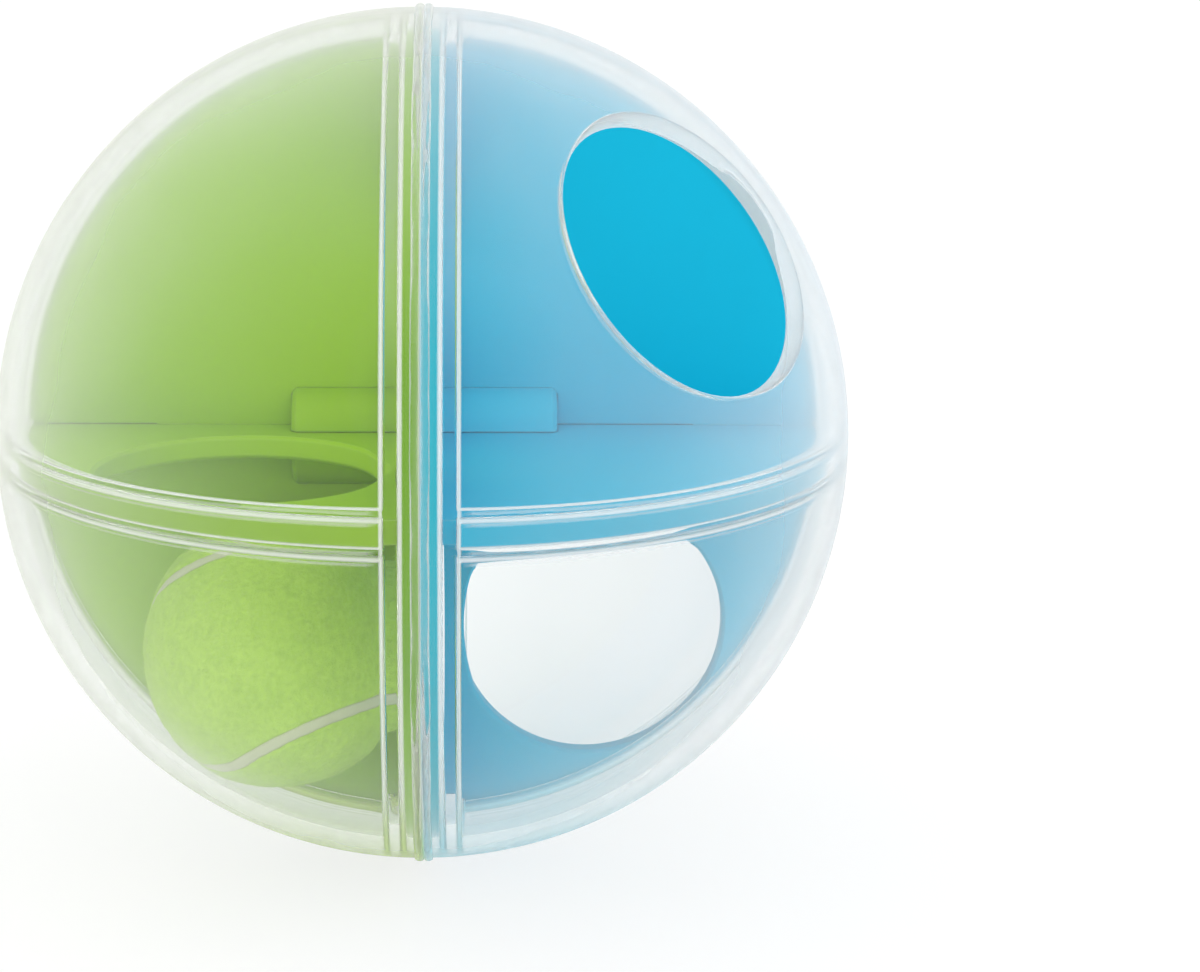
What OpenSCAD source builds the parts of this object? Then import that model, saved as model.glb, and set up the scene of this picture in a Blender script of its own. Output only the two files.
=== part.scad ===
// Treat maze ball: two clear half shells, each holding a divider and two crossed panels,
// joined by a hub axle along X, with a tennis ball in one chamber. Both halves are the same
// mouldings: the green half is the blue half turned 180 degrees. Origin at the ball's centre.

/* [Shell] */
// Outside diameter of the closed ball
shell_d = 200; // [196:1:230]
// Thickness of the clear wall
shell_wall = 4.5; // [3.5:0.1:5.5]
// Gap between the two halves at the seam
seam_gap = 0.3; // [0.2:0.05:0.5]
// Radius of the half-round bead that the two rims form at the seam
bead_r = 1.9; // [1.4:0.1:2.6]
// How far the bead stands proud of the shell
bead_proud = 1; // [0.6:0.1:1.6]
// Width of the rib that backs the divider
rim_rib_w = 3.7; // [3:0.1:6]
// How far all the ribs stand in from the wall
rib_h = 3; // [2:0.1:4]
// Width of each rib beside a panel
rib_w = 2.3; // [1.6:0.1:3.2]
// Angle of the ball port from the twist axis
port_polar = 52; // [48:0.5:57]
// Angle of the ball port round the twist axis, from the plain panel
port_clock = 45; // [42:0.5:48]
// Room between the tennis ball and the lip of the port
port_clear = 1.8; // [1:0.1:2.5]
// Radius of the rounded lip round the port
lip_r = 2.7; // [2.5:0.1:3.2]

/* [Maze] */
// Thickness of the crossed panels
panel_t = 5.4; // [4:0.1:7]
// Thickness of the divider disc
divider_t = 3.8; // [3:0.1:6]
// Outside diameter of the hub boss
hub_d = 24; // [22:0.5:26]
// Reach of the hub boss from the seam
hub_reach = 31; // [26:0.5:36]
// Closed end of the hub boss
hub_end_t = 3; // [2:0.1:5]
// Depth of the keyways in the hub boss that hold the panels
key_depth = 2; // [1:0.1:2.5]
// Panel left between its treat hole and the divider
hole_web = 3.9; // [2:0.1:8]
// Panel left between its treat hole and the hub boss
hub_web = 3.2; // [1:0.1:8]
// Panel left between its treat hole and its round edge
hole_rim = 1.6; // [1:0.1:6]
// Divider left between a window and the panel behind it
window_web = 4; // [2:0.1:5]
// Divider left between a window and its round edge
window_rim = 5.5; // [3:0.1:7]
// Bevel along the edges of holes and windows
edge_bevel = 0.8; // [0.4:0.1:1.2]

/* [Axle] */
// Diameter of the hub axle
axle_d = 14; // [10:0.5:15]
// Diameter of the collar at the middle of the axle
collar_d = 19; // [17:0.5:20]
// Width of that collar
collar_w = 3; // [2:0.1:4]
// Bevel at the ends of the axle and of the hub bosses
end_bevel = 1; // [0.5:0.1:1.5]

/* [Tennis ball] */
// Diameter of the tennis ball over its felt
ball_d = 63.5; // [60:0.5:64]
// Thickness of the felt
felt_t = 3; // [2:0.1:4]
// Wall of the hollow rubber core
core_wall = 3.6; // [3:0.1:6]
// Width of the seam between the felt panels
ball_seam_w = 2.8; // [2:0.1:4]
// How far the seam lies below the felt
ball_seam_drop = 0.7; // [0.3:0.1:1.2]
// Tilt of the seam's loops, back from upright
ball_tilt = 33; // [0:1:45]
// Turn of the seam's loops about the upright
ball_turn = 45; // [0:1:90]

/* [Fits] */
// Gap at the edges where a piece is seated
seat_gap = 0.3; // [0.2:0.05:0.4]
// Gap on each side of a panel in its channel
channel_gap = 0.4; // [0.3:0.05:0.7]
// Gap on each side of a panel in a keyway or a cross lap
lap_gap = 0.15; // [0.1:0.05:0.3]
// Gap round the axle in its bores
axle_gap = 0.05; // [0.03:0.01:0.1]
// Glue line between the core and the felt
glue_gap = 0.1; // [0.05:0.05:0.2]

/* [Hidden] */
$fn = 96;
clear_colour = [0.86, 0.92, 0.94, 0.35];
green_colour = [0.53, 0.72, 0.20];
blue_colour = [0.05, 0.66, 0.85];
axle_colour = [0.90, 0.90, 0.88];
rubber_colour = [0.30, 0.31, 0.30];
felt_colour = [0.72, 0.84, 0.30];
seam_colour = [0.85, 0.87, 0.78];
// Past the faces that a cutter goes through
over = 1;
face_x = seam_gap / 2;
shell_r = shell_d / 2;
inner_r = shell_r - shell_wall;
mid_r = shell_r - shell_wall / 2;
rib_r = inner_r - rib_h;
root_2 = sqrt(2);
channel_w = panel_t + 2 * channel_gap;
divider_back = face_x + divider_t;
rim_rib_x = divider_back + seat_gap;
rim_rib_end = rim_rib_x + rim_rib_w;
divider_r = sqrt(pow(inner_r, 2) - pow(divider_back, 2)) - seat_gap;
panel_r = inner_r - seat_gap;
// Reach of the panels inside the rim rib, whose inner face is round
corner_r = sqrt(pow(rib_r, 2) - pow(rim_rib_end, 2)) - seat_gap;
panel_x = divider_back + lap_gap;
hub_r = hub_d / 2;
key_r = hub_r - key_depth;
lap_x = (hub_reach + panel_r) / 2;
ball_r = ball_d / 2;
// A treat hole is as wide as its panel allows: it keeps its webs to divider, hub and round edge
hole_from_x = divider_back + hole_web;
hole_from_s = hub_r + hub_web;
hole_reach = panel_r - hole_rim;
hole_sum = hole_from_x + hole_from_s + hole_reach;
hole_squares = pow(hole_reach, 2) - pow(hole_from_x, 2) - pow(hole_from_s, 2);
hole_r = sqrt(pow(hole_sum, 2) + hole_squares) - hole_sum;
hole_x = hole_from_x + hole_r;
hole_s = hole_from_s + hole_r;
// A window is as wide as its quarter of the divider allows, between both panels and the edge
window_from = panel_t / 2 + window_web;
window_r = (divider_r - window_rim - root_2 * window_from) / (1 + root_2);
window_s = window_from + window_r;
port_r = ball_r + port_clear;
port_ring_r = port_r + lip_r;
bore_r = axle_d / 2 + axle_gap;
bore_end = hub_reach - hub_end_t;
axle_half = bore_end - seat_gap;
collar_half = collar_w / 2;
core_r = ball_r - felt_t;
felt_r = core_r + glue_gap;
// Half width of a felt panel's band, as an angle at the ball's centre
felt_angle = 45 - ball_seam_w / 2 / ball_r * 180 / PI;
// The tennis ball lies on the shell, against the wall panel and close to the seam
ball_x = -(face_x + seat_gap + ball_r);
ball_y = -(panel_t / 2 + seat_gap + ball_r);
ball_z = -sqrt(pow(inner_r - seat_gap - ball_r, 2) - pow(ball_x, 2) - pow(ball_y, 2));

// Turns one of two matching pieces into the other's place: x to -x, and y and z change over
module other_side()
{
    rotate(a = 180, v = [0, 1, 1])
        children();
}

// Stands a shape that was drawn along Z along the twist axis
module along_axis()
{
    rotate([0, 90, 0])
        children();
}

// Points a shape that was drawn along Z out through the ball port
module along_port()
{
    rotate([-port_clock, 0, 0])
        rotate([0, 0, -port_polar])
            along_axis()
                children();
}

// A plus sign of two crossed strips
module plus(width)
{
    square([shell_d, width], center = true);
    square([width, shell_d], center = true);
}

// A hole of one radius through a plate that lies on z = 0, with bevelled edges on both faces
module bevelled_hole(radius, thickness)
{
    translate([0, 0, -thickness / 2 - over])
        cylinder(r = radius, h = thickness + 2 * over);
    for (side = [0, 1])
        mirror([0, 0, side])
            translate([0, 0, thickness / 2 - edge_bevel])
                cylinder(r1 = radius, r2 = radius + edge_bevel + over, h = edge_bevel + over);
}

// The slabs that stay solid between the wall and the ribs' inner face
module rib_slabs()
{
    translate([rim_rib_x, 0, 0])
        along_axis()
            cylinder(r = shell_r, h = rim_rib_w);
    translate([rim_rib_x, 0, 0])
        along_axis()
            linear_extrude(shell_r)
                difference() {
                    plus(channel_w + 2 * rib_w);
                    plus(channel_w);
                }
}

// One hemisphere: wall, rim rib, panel channels, seam bead and the lipped ball port
module half_shell()
{
    difference() {
        union() {
            difference() {
                sphere(r = shell_r);
                sphere(r = rib_r);
                difference() {
                    sphere(r = inner_r);
                    rib_slabs();
                }
                along_port()
                    cylinder(r = port_ring_r, h = shell_d);
            }
            translate([face_x, 0, 0])
                along_axis()
                    rotate_extrude()
                        translate([shell_r + bead_proud - bead_r, 0])
                            circle(r = bead_r);
            along_port()
                translate([0, 0, sqrt(pow(mid_r, 2) - pow(port_ring_r, 2))])
                    rotate_extrude()
                        translate([port_ring_r, 0])
                            circle(r = lip_r);
        }
        translate([face_x - 2 * shell_d, -shell_d, -shell_d])
            cube(2 * shell_d);
    }
}

// The disc that closes a half: four round windows, and the hub boss with its keyways and bore
module half_divider()
{
    difference() {
        along_axis()
            union() {
                translate([0, 0, face_x])
                    cylinder(r = divider_r, h = divider_t);
                translate([0, 0, face_x])
                    cylinder(r = hub_r, h = hub_reach - face_x - end_bevel);
                translate([0, 0, hub_reach - end_bevel])
                    cylinder(r1 = hub_r, r2 = hub_r - end_bevel, h = end_bevel);
            }
        for (side_y = [-1, 1], side_z = [-1, 1])
            translate([face_x + divider_t / 2, side_y * window_s, side_z * window_s])
                along_axis()
                    bevelled_hole(window_r, divider_t);
        along_axis()
            cylinder(r = bore_r, h = bore_end);
        along_axis()
            cylinder(d = collar_d + 2 * seat_gap, h = collar_half + seat_gap);
        for (turn = [0:90:270])
            rotate([turn, 0, 0])
                translate([divider_back, key_r, -panel_t / 2 - lap_gap])
                    cube([hub_reach, hub_d, panel_t + 2 * lap_gap]);
    }
}

// A half disc that stands in XZ: round edge, corners cut back for the rim rib, hub notch
module panel_blank()
{
    difference() {
        intersection() {
            sphere(r = panel_r);
            translate([panel_x, -panel_t / 2, -shell_r])
                cube([shell_d, panel_t, shell_d]);
        }
        along_axis()
            difference() {
                cylinder(r = shell_r, h = rim_rib_end + seat_gap);
                cylinder(r = corner_r, h = rim_rib_end + seat_gap);
            }
        translate([0, -panel_t, -key_r - lap_gap])
            cube([hub_reach + lap_gap, 2 * panel_t, 2 * (key_r + lap_gap)]);
    }
}

// The slot of a cross lap, along the twist axis
module lap_slot(from_x, to_x)
{
    slot_w = panel_t + 2 * lap_gap;
    translate([from_x, -panel_t, -slot_w / 2])
        cube([to_x - from_x, 2 * panel_t, slot_w]);
}

// The panel with the treat hole, in XZ with its hole below, slotted from the hub outwards
module holed_panel()
{
    difference() {
        panel_blank();
        lap_slot(hub_reach - over, lap_x + lap_gap);
        translate([hole_x, 0, -hole_s])
            rotate([90, 0, 0])
                bevelled_hole(hole_r, panel_t);
    }
}

// The plain panel, in XY, slotted from its outer edge inwards
module plain_panel()
{
    rotate([90, 0, 0])
        difference() {
            panel_blank();
            lap_slot(lap_x - lap_gap, shell_d);
        }
}

// The pin that carries both hub bosses
module hub_axle()
{
    color(axle_colour)
        along_axis() {
            for (side = [0, 1])
                mirror([0, 0, side]) {
                    cylinder(d = axle_d, h = axle_half - end_bevel);
                    translate([0, 0, axle_half - end_bevel])
                        cylinder(d1 = axle_d, d2 = axle_d - 2 * end_bevel, h = end_bevel);
                }
            cylinder(d = collar_d, h = collar_w, center = true);
        }
}

// Puts a tennis ball part, drawn round its own centre with +X to the front, in its chamber
module in_chamber()
{
    translate([ball_x, ball_y, ball_z])
        rotate([-ball_tilt, 0, ball_turn])
            rotate([0, 0, -90])
                children();
}

// A layer of the ball's cover between two latitudes, turned half way round on the +X side
module half_turn(from_angle, to_angle, outer_r)
{
    reach = 2 * outer_r;
    rotate([0, 0, -90])
        rotate_extrude(angle = 180)
            intersection() {
                difference() {
                    circle(r = outer_r);
                    circle(r = felt_r);
                }
                polygon([
                    [0, 0],
                    [reach * cos(from_angle), reach * sin(from_angle)],
                    [reach * cos(to_angle), reach * sin(to_angle)]
                ]);
            }
}

// The front felt panel: a band round the front that widens into a half cap at each side
module felt_panel()
{
    half_turn(-felt_angle, felt_angle, ball_r);
    for (side = [0, 1])
        mirror([0, side, 0])
            other_side()
                half_turn(90 - felt_angle, 90, ball_r);
}

// Half of the seam: the two arcs above and below the front panel's band
module seam_arcs()
{
    for (side = [0, 1])
        mirror([0, 0, side])
            half_turn(felt_angle, 90 - felt_angle, ball_r - ball_seam_drop);
}

module clear_shell_left()
{
    color(clear_colour)
        other_side()
            half_shell();
}

module green_divider()
{
    color(green_colour)
        other_side()
            half_divider();
}

module green_shelf()
{
    color(green_colour)
        other_side()
            holed_panel();
}

module green_wall()
{
    color(green_colour)
        other_side()
            plain_panel();
}

module clear_shell_right()
{
    color(clear_colour)
        half_shell();
}

module blue_divider()
{
    color(blue_colour)
        half_divider();
}

module blue_wall()
{
    color(blue_colour)
        holed_panel();
}

module blue_shelf()
{
    color(blue_colour)
        plain_panel();
}

module ball_core()
{
    color(rubber_colour)
        in_chamber()
            difference() {
                sphere(r = core_r);
                sphere(r = core_r - core_wall);
            }
}

module ball_felt_front()
{
    color(felt_colour)
        in_chamber()
            felt_panel();
}

module ball_felt_rear()
{
    color(felt_colour)
        in_chamber()
            other_side()
                felt_panel();
}

module ball_seam()
{
    color(seam_colour)
        in_chamber() {
            seam_arcs();
            other_side()
                seam_arcs();
        }
}

clear_shell_left();
green_divider();
green_shelf();
green_wall();
clear_shell_right();
blue_divider();
blue_wall();
blue_shelf();
hub_axle();
ball_core();
ball_felt_front();
ball_felt_rear();
ball_seam();
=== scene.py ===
"""Dresses the treat maze ball: clear ribbed half shells, maze panels, hub axle and felt ball."""
import logging
import math
from dataclasses import dataclass, field
from enum import Enum

import bmesh
import bpy
import numpy as np
from mathutils import Matrix, Vector


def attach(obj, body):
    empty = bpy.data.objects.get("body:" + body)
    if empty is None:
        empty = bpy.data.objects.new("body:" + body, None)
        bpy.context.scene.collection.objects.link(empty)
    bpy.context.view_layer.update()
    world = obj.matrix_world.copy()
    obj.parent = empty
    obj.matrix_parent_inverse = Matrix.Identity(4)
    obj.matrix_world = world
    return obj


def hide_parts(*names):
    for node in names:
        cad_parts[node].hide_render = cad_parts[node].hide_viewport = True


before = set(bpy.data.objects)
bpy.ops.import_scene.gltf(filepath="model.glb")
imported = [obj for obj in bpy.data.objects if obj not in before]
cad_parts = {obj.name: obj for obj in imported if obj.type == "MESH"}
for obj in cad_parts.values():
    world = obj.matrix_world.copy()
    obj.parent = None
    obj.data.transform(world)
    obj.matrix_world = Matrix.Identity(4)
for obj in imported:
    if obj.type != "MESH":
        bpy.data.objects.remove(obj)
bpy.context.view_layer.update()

LOG = logging.getLogger("treat_maze_ball")
MM = 0.001
Colour = tuple[float, float, float]


class Half(Enum):
    """The two halves of the ball, which are the same mouldings turned round."""

    GREEN = "green"
    BLUE = "blue"


def other_side(points: np.ndarray) -> np.ndarray:
    """Turns points 180 degrees about the line y = z: x changes sign, y and z change over.

    Args:
        points: array whose last axis holds x, y and z.

    Returns:
        The turned points.
    """
    return np.stack([-points[..., 0], points[..., 2], points[..., 1]], axis=-1)


def smooth_step(value: np.ndarray, start: float, end: float) -> np.ndarray:
    """Rises from 0 at start to 1 at end along 3t^2 - 2t^3.

    Args:
        value: where the step is read.
        start: where the rise begins.
        end: where the rise ends.

    Returns:
        The height of the step at each value.
    """
    share = np.clip((value - start) / (end - start), 0.0, 1.0)
    return share * share * (3.0 - 2.0 * share)


def make_piece(name: str, points_mm: np.ndarray, faces: list[np.ndarray], body: str,
               marks: dict[str, np.ndarray] | None = None) -> bpy.types.Object:
    """Puts a surface into the scene as a closed, outward-facing mesh that rides on a body.

    Args:
        name: the piece's name.
        points_mm: (n, 3) points in millimetres, in the row frame; those that no face uses are dropped.
        faces: arrays of (m, 3) or (m, 4) corner indices.
        body: the CAD body that carries the piece.
        marks: values for each point that the materials read, by name.

    Returns:
        The new object, at the origin.
    """
    used = np.unique(np.concatenate([part.reshape(-1) for part in faces]))
    cells = [cell for part in faces for cell in np.searchsorted(used, part).tolist()]
    mesh = bpy.data.meshes.new(name)
    mesh.from_pydata((points_mm[used] * MM).tolist(), [], cells)
    for mark, values in (marks or {}).items():
        layer = mesh.attributes.new(mark, "FLOAT", "POINT")
        layer.data.foreach_set("value", values[used].astype(np.float32))
    work = bmesh.new()
    work.from_mesh(mesh)
    bmesh.ops.remove_doubles(work, verts=work.verts, dist=1e-6)
    bmesh.ops.recalc_face_normals(work, faces=work.faces)
    work.to_mesh(mesh)
    work.free()
    mesh.polygons.foreach_set("use_smooth", np.ones(len(mesh.polygons), bool))
    piece = bpy.data.objects.new(name, mesh)
    bpy.context.scene.collection.objects.link(piece)
    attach(piece, body)
    LOG.info("%s: %d points, %d faces, on %s", name, len(mesh.vertices), len(mesh.polygons), body)
    return piece


def cell_faces(rows: int, columns: int, wrap: bool) -> np.ndarray:
    """Corner indices of the cells of a grid of points.

    Args:
        rows: number of points along the first parameter.
        columns: number of points along the second parameter.
        wrap: True if the last column joins the first.

    Returns:
        (rows - 1, cells, 4) indices into the grid's flat list of points.
    """
    index = np.arange(rows * columns).reshape(rows, columns)
    if wrap:
        index = np.concatenate([index, index[:, :1]], axis=1)
    corners = index[:-1, :-1], index[:-1, 1:], index[1:, 1:], index[1:, :-1]
    return np.stack(corners, axis=-1)


@dataclass
class NodeBench:
    """Adds nodes to one material and links them."""

    material: bpy.types.Material | bpy.types.World

    def add(self, kind: str, **settings: object) -> bpy.types.Node:
        """Adds a node of a kind, sets its properties, and its sockets by name.

        Args:
            kind: the node's type name, such as ShaderNodeTexNoise.
            settings: node properties; a name that is no property is a socket, with _ for a space.

        Returns:
            The new node.
        """
        node = self.material.node_tree.nodes.new(kind)
        for name, value in settings.items():
            if hasattr(node, name):
                setattr(node, name, value)
            else:
                node.inputs[name.replace("_", " ")].default_value = value
        return node

    def link(self, start: bpy.types.NodeSocket, end: bpy.types.NodeSocket) -> None:
        """Links two sockets."""
        self.material.node_tree.links.new(start, end)

    def feed(self, slot: bpy.types.NodeSocket, value: bpy.types.NodeSocket | float | Colour) -> None:
        """Links a socket into a slot, or sets the slot to a number or a colour.

        Args:
            slot: the input socket.
            value: the socket, number or colour that it gets.
        """
        if isinstance(value, bpy.types.NodeSocket):
            self.link(value, slot)
        else:
            slot.default_value = (*value, 1.0) if isinstance(value, tuple) else value

    def math(self, operation: str, *values: bpy.types.NodeSocket | float) -> bpy.types.NodeSocket:
        """Adds a Math node on sockets or numbers.

        Args:
            operation: the node's operation.
            values: a socket to link or a number to set, for each input in order.

        Returns:
            The result's socket.
        """
        node = self.add("ShaderNodeMath", operation=operation)
        for slot, value in zip(node.inputs, values):
            self.feed(slot, value)
        return node.outputs[0]

    def noise(self, scale: float, detail: float = 3.0, roughness: float = 0.55,
              distortion: float = 0.0) -> bpy.types.NodeSocket:
        """Adds noise on Object coordinates.

        Args:
            scale: waves in a metre.
            detail: number of finer layers.
            roughness: strength of the finer layers.
            distortion: how far the noise is pulled about.

        Returns:
            The noise's value socket.
        """
        place = self.add("ShaderNodeTexCoord")
        node = self.add("ShaderNodeTexNoise", Scale=scale, Detail=detail, Roughness=roughness,
                        Distortion=distortion)
        self.link(place.outputs["Object"], node.inputs["Vector"])
        return node.outputs["Fac"]

    def blend(self, share: bpy.types.NodeSocket, first: Colour | bpy.types.NodeSocket,
              second: Colour | bpy.types.NodeSocket) -> bpy.types.NodeSocket:
        """Mixes two colours.

        Args:
            share: how much of the second colour.
            first: colour or socket at 0.
            second: colour or socket at 1.

        Returns:
            The mixed colour's socket.
        """
        node = self.add("ShaderNodeMix", data_type="RGBA")
        for index, value in ((0, share), (6, first), (7, second)):
            self.feed(node.inputs[index], value)
        return node.outputs[2]

    def mix(self, share: bpy.types.NodeSocket | float, first: bpy.types.Node,
            second: bpy.types.Node) -> bpy.types.Node:
        """Mixes two shaders.

        Args:
            share: how much of the second shader.
            first: shader at 0.
            second: shader at 1.

        Returns:
            The mixed shader.
        """
        node = self.add("ShaderNodeMixShader")
        for slot, value in zip(node.inputs, (share, first.outputs[0], second.outputs[0])):
            self.feed(slot, value)
        return node

    def span(self, value: bpy.types.NodeSocket, low: float, high: float,
             start: float = 0.0, end: float = 1.0) -> bpy.types.NodeSocket:
        """Maps one span of values onto another, and holds the ends beyond it.

        Args:
            value: the value's socket.
            low: result at start.
            high: result at end.
            start: value that gives low.
            end: value that gives high.

        Returns:
            The mapped value's socket.
        """
        node = self.add("ShaderNodeMapRange", From_Min=start, From_Max=end, To_Min=low, To_Max=high)
        self.link(value, node.inputs["Value"])
        return node.outputs[0]

    def axes(self) -> bpy.types.NodeOutputs:
        """The X, Y and Z sockets of the Object coordinates, in metres."""
        place = self.add("ShaderNodeTexCoord")
        parts = self.add("ShaderNodeSeparateXYZ")
        self.link(place.outputs["Object"], parts.inputs[0])
        return parts.outputs

    def mark(self, name: str) -> bpy.types.NodeSocket:
        """The socket of a mark that the piece's points carry."""
        return self.add("ShaderNodeAttribute", attribute_name=name).outputs["Fac"]

    def bump(self, shader: bpy.types.Node, height: bpy.types.NodeSocket, strength: float, distance: float,
             normal: bpy.types.NodeSocket | None = None) -> None:
        """Bumps a shader's surface.

        Args:
            shader: the shader that is bumped.
            height: the height's socket.
            strength: share of the bump that shows.
            distance: height of the bump in metres.
            normal: the normal that is bumped, if not the surface's own.
        """
        node = self.add("ShaderNodeBump", Strength=strength, Distance=distance)
        self.link(height, node.inputs["Height"])
        if normal:
            self.link(normal, node.inputs["Normal"])
        self.link(node.outputs[0], shader.inputs["Normal"])

    def finish(self, shader: bpy.types.Node) -> bpy.types.Material:
        """Makes a shader the material's surface.

        Args:
            shader: the shader.

        Returns:
            The material.
        """
        out = self.add("ShaderNodeOutputMaterial")
        self.link(shader.outputs[0], out.inputs["Surface"])
        return self.material


def new_bench(name: str) -> NodeBench:
    """A new material with an empty node tree.

    Args:
        name: the material's name.

    Returns:
        A bench for its nodes.
    """
    material = bpy.data.materials.new(name)
    material.use_nodes = True
    material.node_tree.nodes.clear()
    return NodeBench(material)


def dress(piece: bpy.types.Object, material: bpy.types.Material) -> None:
    """Gives a piece one material in its first slot.

    Args:
        piece: the piece or CAD node.
        material: the material it gets.
    """
    if piece.data.materials:
        piece.data.materials[0] = material
    else:
        piece.data.materials.append(material)
    LOG.info("%s: dressed in %s", piece.name, material.name)


@dataclass(frozen=True)
class ClearPlastic:
    """Clear moulded plastic, a little milky and more so where seen edge on, with painted highlight lines
    along the ribs and painted reflections of the panels.
    """

    tint: tuple[float, float, float, float] = (0.97, 0.985, 0.99, 1.0)
    haze: Colour = (0.91, 0.90, 0.895)
    # Painted reflection of the green and blue panels in the haze, low down near the seam.
    green_panel_reflection: Colour = (0.70, 0.85, 0.26)
    blue_panel_reflection: Colour = (0.52, 0.87, 0.95)
    through: tuple[float, float, float, float] = (0.98, 0.985, 0.985, 1.0)
    haze_slope: float = 0.37
    low_slope: float = 0.1
    low_z: tuple[float, float] = (-0.065, 0.0)
    haze_cube: float = 0.45
    haze_most: float = 0.97
    right_milk: float = 0.035
    right_x: tuple[float, float] = (0.006, 0.03)
    panel_reflection_z: tuple[float, float] = (-0.086, -0.062)
    panel_reflection_x: tuple[float, float] = (0.03, 0.08)
    cloud: float = 0.35
    edge_haze_and_highlight: float = 0.85
    glow_share: float = 0.35
    ior: float = 1.33

    def milkiness(self, bench: NodeBench) -> bpy.types.NodeSocket:
        """How much of the surface is white haze: a cubic rise from facing to grazing view, a little more
        in the right half and less low down, clouded by broad noise, or the edge mark where that is more.
        The edge mark carries painted highlight lines along the ribs and painted light high in the rim rib.

        Args:
            bench: the material's bench.

        Returns:
            The socket with the share of haze.
        """
        view = bench.add("ShaderNodeLayerWeight", Blend=0.5)
        cube = bench.math("POWER", view.outputs["Facing"], 3.0)
        axes = bench.axes()
        right = bench.span(axes["X"], 0.0, self.right_milk, *self.right_x)
        slope = bench.span(axes["Z"], self.low_slope, self.haze_slope, *self.low_z)
        rise = bench.math("MULTIPLY_ADD", view.outputs["Facing"], slope, right)
        total = bench.math("MULTIPLY_ADD", cube, self.haze_cube, rise)
        patch = bench.span(bench.noise(22.0, 3.0, 0.5, 0.6), 1.0 - self.cloud, 1.0 + self.cloud)
        # The edge mark adds painted highlight lines along the ribs and painted light high in the rim rib.
        edge = bench.math("MULTIPLY", bench.mark("edge"), self.edge_haze_and_highlight)
        most = bench.math("MAXIMUM", bench.math("MULTIPLY", total, patch), edge)
        return bench.math("MINIMUM", most, self.haze_most)

    def tone(self, bench: NodeBench) -> bpy.types.NodeSocket:
        """The haze's colour: near white, but low down near the seam it carries a painted reflection of the
        panels, green on one side of the seam and blue on the other.

        Args:
            bench: the material's bench.

        Returns:
            The colour's socket.
        """
        axes = bench.axes()
        # Painted reflection of the panels: strongest low down and near the seam.
        low = bench.span(axes["Z"], 1.0, 0.0, *self.panel_reflection_z)
        near = bench.span(bench.math("ABSOLUTE", axes["X"]), 1.0, 0.0, *self.panel_reflection_x)
        side = bench.span(axes["X"], 0.0, 1.0, -MM, MM)
        painted_panel_reflection = bench.blend(side, self.green_panel_reflection, self.blue_panel_reflection)
        return bench.blend(bench.math("MULTIPLY", low, near), self.haze, painted_panel_reflection)

    def material(self) -> bpy.types.Material:
        """Bends light by the plastic's index, mixes in the haze, and lets lamps and diffuse light pass
        straight through.

        Returns:
            The material.
        """
        bench = new_bench("clear_plastic")
        clear = bench.add("ShaderNodeBsdfPrincipled", Base_Color=self.tint, Roughness=0.0, IOR=self.ior,
                          Transmission_Weight=1.0)
        milk = bench.add("ShaderNodeBsdfDiffuse")
        glow = bench.add("ShaderNodeBsdfTranslucent")
        tone = self.tone(bench)
        for scatter in (milk, glow):
            bench.link(tone, scatter.inputs["Color"])
        body = bench.mix(self.milkiness(bench), clear, bench.mix(self.glow_share, milk, glow))
        rays = bench.add("ShaderNodeLightPath")
        passing = bench.math("MAXIMUM", rays.outputs["Is Shadow Ray"], rays.outputs["Is Diffuse Ray"])
        through = bench.add("ShaderNodeBsdfTransparent", Color=self.through)
        return bench.finish(bench.mix(passing, body, through))


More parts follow.
